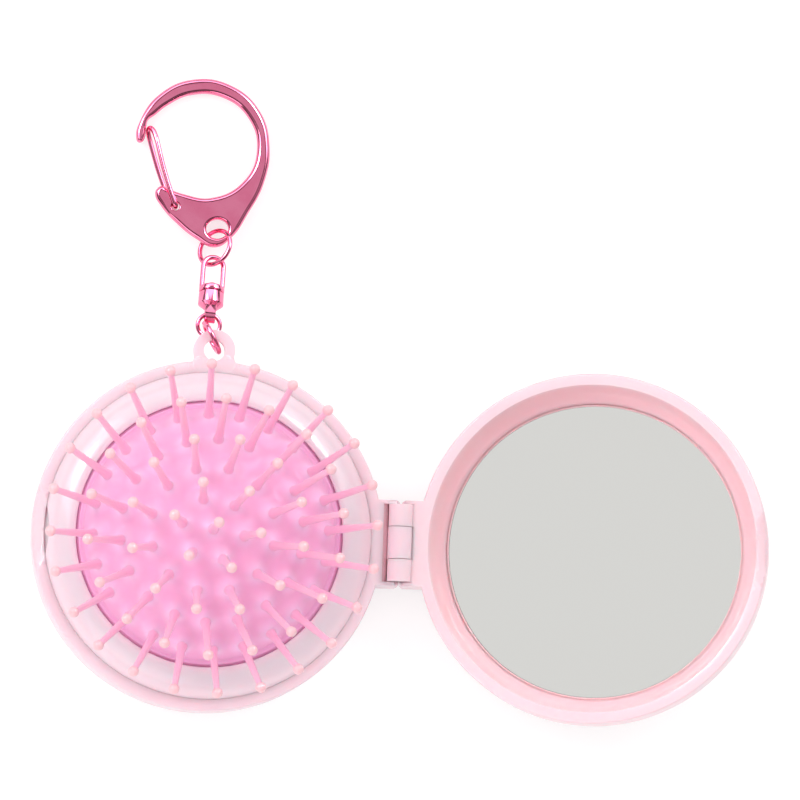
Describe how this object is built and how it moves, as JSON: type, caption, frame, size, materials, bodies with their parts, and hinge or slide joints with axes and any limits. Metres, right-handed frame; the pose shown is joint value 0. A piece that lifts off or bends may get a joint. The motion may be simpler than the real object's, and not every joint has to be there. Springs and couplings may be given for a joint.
{
  "type": "folding hairbrush with mirror",
  "caption": "Round folding pocket hairbrush: ball-tipped pins on a pop-up domed cushion, a mirror in the hinged lid, and a key-ring chain with a swivel and a snap clasp.",
  "frame": {"origin": "middle of the brush half's back, on the plane it rests on", "axes": "+Z out of the back towards the pins, +X from the brush half across the hinge to the open lid, +Y towards the key loop and chain"},
  "size_m": [0.139, 0.1203, 0.0417],
  "materials": {
    "shell_pink": "pearl gloss",
    "collar_pink": "gloss",
    "cushion_rubber": "satin",
    "pin_plastic": "gloss, ball tips",
    "carrier_plastic": "moulded",
    "mirror_glass": "silvered",
    "pad_foam": "foam",
    "hinge_steel": "drawn",
    "pink_metal": "metallic lacquer"
  },
  "bodies": {
    "base": {"base_shell": "shell_pink", "front_collar": "collar_pink", "hinge_pin": "hinge_steel"},
    "carriage": {"cushion": "cushion_rubber", "dome_carrier": "carrier_plastic", "push_button": "shell_pink", "centre_pin": "pin_plastic", "pins_ring_1": "pin_plastic", "pins_ring_2": "pin_plastic", "pins_ring_3": "pin_plastic", "pins_ring_4": "pin_plastic"},
    "lid": {"lid_shell": "shell_pink", "mirror": "mirror_glass", "mirror_pad": "pad_foam"},
    "chain_ring": {"key_ring": "pink_metal"},
    "chain_link": {"link_ring": "pink_metal"},
    "swivel": {"swivel_eye": "pink_metal", "swivel_rivet": "pink_metal"},
    "shackle": {"swivel_shackle": "pink_metal"},
    "snap_ring": {"clasp_ring": "pink_metal"},
    "clasp": {"clasp_body": "pink_metal"},
    "gate": {"clasp_gate": "pink_metal"}
  },
  "joints": [
    {"name": "lid_hinge", "type": "hinge", "parent": "base", "child": "lid", "pos_m": [0.0362, 0, 0.012], "axis": [0, 1, 0], "range_deg": [-170, 0]},
    {"name": "brush_pop", "type": "slide", "parent": "base", "child": "carriage", "axis": [0, 0, 1], "range_m": [-0.0122, 0], "deforming": ["centre_pin", "pins_ring_1", "pins_ring_2", "pins_ring_3", "pins_ring_4"]},
    {"name": "key_ring_swing", "type": "hinge", "parent": "base", "child": "chain_ring", "pos_m": [-0.00067, 0.03785, 0.01085], "axis": [0.8829, 0.4695, 0], "range_deg": [-50, 90]},
    {"name": "link_turn", "type": "hinge", "parent": "chain_ring", "child": "chain_link", "pos_m": [-0.00161, 0.03963, 0.00815], "axis": [0, 0, 1], "range_deg": [-25, 25]},
    {"name": "eye_pitch", "type": "hinge", "parent": "chain_link", "child": "swivel", "pos_m": [-0.0009, 0.04196, 0.00815], "axis": [0.9981, -0.061, 0], "range_deg": [-20, 35]},
    {"name": "swivel_spin", "type": "hinge", "parent": "swivel", "child": "shackle", "pos_m": [-0.00064, 0.04629, 0.00662], "axis": [0.0576, 0.9415, -0.3322], "continuous": true},
    {"name": "snap_ring_swing", "type": "hinge", "parent": "shackle", "child": "snap_ring", "pos_m": [-0.0002, 0.05347, 0.00409], "axis": [0.9905, -0.0954, -0.0986], "range_deg": [-20, 20]},
    {"name": "clasp_swing", "type": "hinge", "parent": "snap_ring", "child": "clasp", "pos_m": [0.00012, 0.05872, 0.00224], "axis": [-0.6395, 0.2903, 0.7119], "range_deg": [-14, 14]},
    {"name": "gate_hinge", "type": "hinge", "parent": "clasp", "child": "gate", "pos_m": [-0.00772, 0.06304, 0.00257], "axis": [-0.0101, 0.0575, 0.9983], "range_deg": [-20, 0], "stiffness_Nm_per_rad": 0.0004, "springref_deg": 6}
  ],
  "couplings": [
    {"joint": "brush_pop", "follows": "lid_hinge", "m_per_rad": 0.0041118}
  ]
}
